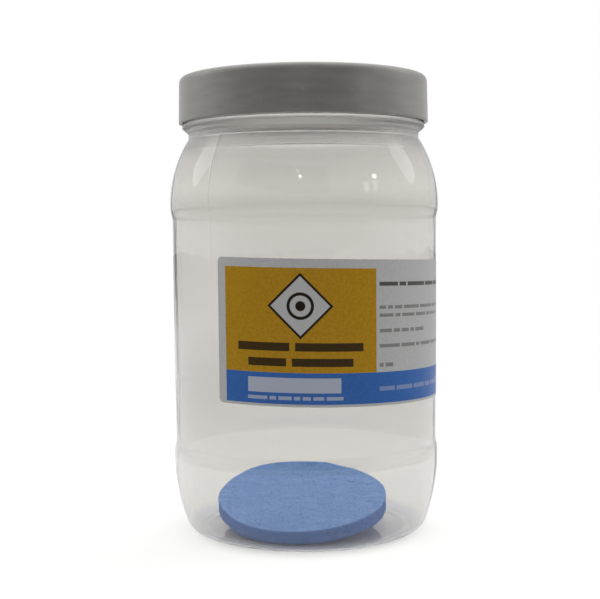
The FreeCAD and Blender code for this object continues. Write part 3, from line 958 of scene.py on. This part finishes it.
def label_print():
    """Printed film: fields of colour, plain bars where the words are, and a ring in a diamond."""
    made = Finish("label_print", PAPER, 0.35)
    made.give("Specular IOR Level", 0.12)
    place = made.parts(made.node("ShaderNodeUVMap", uv_map="print_mm").outputs["UV"])
    along, up = place["X"], place["Y"]

    def inked(distance):
        return made.ramp(distance, -PRINT_EDGE, PRINT_EDGE)

    def off(value, middle):
        return made.math("ABSOLUTE", made.math("SUBTRACT", value, middle))

    def bar(left, right, low, high):
        across = made.math("SUBTRACT", (right - left) / 2, off(along, (left + right) / 2))
        over = made.math("SUBTRACT", (high - low) / 2, off(up, (low + high) / 2))
        return inked(made.math("MINIMUM", across, over))

    def bars(boxes):
        share = bar(*boxes[0])
        for box in boxes[1:]:
            share = made.math("MAXIMUM", share, bar(*box))
        return share

    from_middle = (off(along, DIAMOND[0]), off(up, DIAMOND[1]))
    sideways = made.math("ADD", *from_middle)
    squares = [made.math("MULTIPLY", value, value) for value in from_middle]
    outward = made.math("SQRT", made.math("ADD", *squares))

    def diamond(reach):
        return inked(made.math("MULTIPLY", made.math("SUBTRACT", reach, sideways), math.sqrt(0.5)))

    def disc(radius):
        return inked(made.math("SUBTRACT", radius, outward))

    mottle = made.ramp(made.noise(900), 0.3, 0.7)
    color = made.mix(mottle, (146, 146, 146), (152, 152, 152))
    color = made.mix(bar(*FIELD), color, made.mix(mottle, (137, 101, 9), (147, 111, 18)))
    color = made.mix(bar(*BAND), color, made.mix(mottle, (38, 78, 137), (43, 83, 142)))
    color = made.mix(diamond(DIAMOND_REACH), color, INK)
    color = made.mix(diamond(DIAMOND_REACH - DIAMOND_LINE * math.sqrt(2)), color, PAPER)
    color = made.mix(disc(SIGN_RING[1]), color, INK)
    color = made.mix(disc(SIGN_RING[0]), color, PAPER)
    color = made.mix(disc(SIGN_DOT), color, INK)
    small = [(left, right, *SMALL_BAND_HEIGHT) for left, right in SMALL_BAND_WORDS]
    bold = [(left, right, *BOLD_HEIGHT) for left, right in BOLD_WORDS]
    text = [word for row in TEXT_ROWS for word in row_words(*row)]
    covers = (
        (HEADING_BARS, 0.92, INK), (BAND_BARS, 0.75, PALE_INK), (small, 0.6, PALE_INK),
        (bold, 0.85, INK), (text, 0.55, INK), (row_words(*ADDRESS_ROW), 0.3, PALE_INK),
    )
    for boxes, share, ink in covers:
        color = made.cover(bars(boxes), share, color, ink)
    made.give("Base Color", color)
    fibre = made.noise(2200, detail=2.0)
    made.give("Roughness", made.ramp(fibre, 0.3, 0.7, to_low=0.3, to_high=0.4))
    waves = made.bump(made.noise(70, detail=2.0), distance=0.0003, strength=0.12)
    made.give("Normal", made.bump(fibre, distance=0.00003, strength=0.4, under=waves))
    return made.material


def label_backing():
    """Plain back of the label, seen through the jar, with faint marks in its glue."""
    made = Finish("label_backing", (176, 176, 175), 0.6)
    glue = made.ramp(made.noise(240, detail=4.0, roughness=0.65), 0.45, 0.7)
    made.give("Base Color", made.mix(glue, (178, 178, 177), (168, 168, 166)))
    fibre = made.noise(2200, detail=2.0)
    made.give("Roughness", made.ramp(fibre, 0.3, 0.7, to_low=0.5, to_high=0.66))
    made.give("Normal", made.bump(fibre, distance=0.00003, strength=0.4))
    return made.material


# Studio

def make_camera():
    """Camera at the photograph's place and angle."""
    data = bpy.data.cameras.new("camera")
    data.sensor_width = SENSOR_WIDTH
    data.lens = FOCAL_PIXELS * SENSOR_WIDTH / PICTURE_PIXELS
    data.shift_y = CAMERA_SHIFT_Y
    camera = bpy.data.objects.new("camera", data)
    bpy.context.scene.collection.objects.link(camera)
    turn = Matrix.Rotation(math.radians(CAMERA_TURN), 4, "Z")
    down = Matrix.Rotation(math.radians(90 - CAMERA_DOWN), 4, "X")
    roll = Matrix.Rotation(math.radians(CAMERA_ROLL), 4, "Z")
    camera.matrix_world = Matrix.Translation(CAMERA_PLACE) @ turn @ down @ roll
    bpy.context.scene.camera = camera


def make_world():
    """White behind everything seen, an even fill, and a room for plastic to mirror, dark in front."""
    world = bpy.data.worlds.new("studio")
    world.use_nodes = True
    bpy.context.scene.world = world
    made = Nodes(world.node_tree)
    made.tree.nodes.clear()
    way = made.parts(made.node("ShaderNodeTexCoord").outputs["Generated"])
    front = made.ramp(way["Y"], *ROOM_FROM_FRONT, FRONT_ROOM, SIDE_ROOM)
    back = made.ramp(way["Y"], *ROOM_TO_BACK, 1.0, BACK_ROOM / SIDE_ROOM)
    top = made.ramp(way["Z"], *ROOM_TO_TOP, 0.0, TOP_ROOM)
    room = made.white("Background", made.math("ADD", made.math("MULTIPLY", front, back), top))
    path = made.node("ShaderNodeLightPath").outputs
    lit = made.either(path["Is Glossy Ray"], made.white("Background", FILL_STRENGTH), room)
    seen = made.math("MAXIMUM", path["Is Camera Ray"], path["Is Transmission Ray"])
    output = made.node("ShaderNodeOutputWorld")
    made.feed(output.inputs["Surface"], made.either(seen, lit, made.white("Background", 1.0)))


def make_floor():
    """Plain pale floor that keeps the object's shadow, paints more shadow under the jar and runs out into the
    white behind.
    """
    mesh = bpy.data.meshes.new("floor")
    corners = [(x * FLOOR_REACH, y * FLOOR_REACH, 0) for x, y in ((-1, -1), (1, -1), (1, 1), (-1, 1))]
    mesh.from_pydata(corners, [], [(0, 1, 2, 3)])
    floor = bpy.data.objects.new("floor", mesh)
    bpy.context.scene.collection.objects.link(floor)
    made = Finish("floor_white", (188, 188, 187), 0.9)
    made.give("Specular IOR Level", 0.0)
    shaded = made.shader.outputs[0]
    away = made.away(PAD_SHADOW_MIDDLE)
    # Its glow dims under the jar: a painted shadow.
    glow = made.white("Emission", made.ramp(away, *FLOOR_PAINTED_SHADOW, FLOOR_GLOW * GLOW_LEFT_IN_PAINTED_SHADOW, FLOOR_GLOW))
    lifted = made.node("ShaderNodeAddShader", {0: shaded, 1: glow}).outputs[0]
    shown = made.either(made.ramp(away, *FLOOR_FADE), lifted, made.white("Emission", 1.0))
    path = made.node("ShaderNodeLightPath").outputs
    mirrored = made.math("MULTIPLY", path["Is Glossy Ray"], FLOOR_MIRRORED)
    seen = made.math("MAXIMUM", path["Is Camera Ray"], path["Is Transmission Ray"])
    made.show(made.either(made.math("MAXIMUM", seen, mirrored), shaded, shown))
    mesh.materials.append(made.material)


def make_lamp(name, place, target, size, power, form="RECTANGLE", glints=True):
    """Area lamp of a width and height in metres that points at a target."""
    data = bpy.data.lights.new(name, "AREA")
    data.shape = form
    data.size, data.size_y = size
    data.energy = power
    lamp = bpy.data.objects.new(name, data)
    lamp.location = place
    lamp.rotation_euler = (Vector(target) - Vector(place)).to_track_quat("-Z", "Y").to_euler()
    lamp.visible_camera = False
    lamp.visible_transmission = False
    lamp.visible_glossy = glints
    bpy.context.scene.collection.objects.link(lamp)


def make_studio():
    """Soft boxes that leave no glint, and round panes, a small lamp and window lights that do."""
    middle, shoulder, neck = (0, 0, 0.1), (0, 0, 0.16), (0, 0, 0.17)
    make_lamp("top_box", (0, 0.15, 1.25), middle, (1.3, 1.3), 12, glints=False)
    make_lamp("left_box", (-1.1, 0.3, 0.9), middle, (0.9, 0.9), 12.3, glints=False)
    make_lamp("right_box", (1.1, 0.3, 0.9), middle, (0.9, 0.9), 12.3, glints=False)
    make_lamp("front_box", (0, -1.6, 0.7), middle, (1.8, 1.2), 7.5, glints=False)
    make_lamp("left_pane", (-1.08, 0.3, 0.68), neck, (0.42, 0.62), 0.85, form="ELLIPSE")
    make_lamp("right_pane", (1.08, 0.27, 0.68), neck, (0.42, 0.62), 0.85, form="ELLIPSE")
    make_lamp("small_lamp", (-0.07, -0.9, 0.55), shoulder, (0.018, 0.018), 0.24, form="ELLIPSE")
    make_lamp("window_lamp", (0.78, -0.41, 0.485), shoulder, (0.07, 0.05), 0.12)
    make_lamp("window_left", (0.71, -0.54, 0.36), shoulder, (0.07, 0.13), 0.05)
    make_lamp("window_right", (0.78, -0.43, 0.37), shoulder, (0.07, 0.15), 0.05)


bpy.context.scene.view_settings.view_transform = "Standard"
make_camera()
make_world()
make_floor()
make_studio()
make_jar(clear_plastic())
make_lid(lid_plastic())
make_liner(liner_foam())
make_label(label_print(), label_backing())
make_pad(pad_foam())
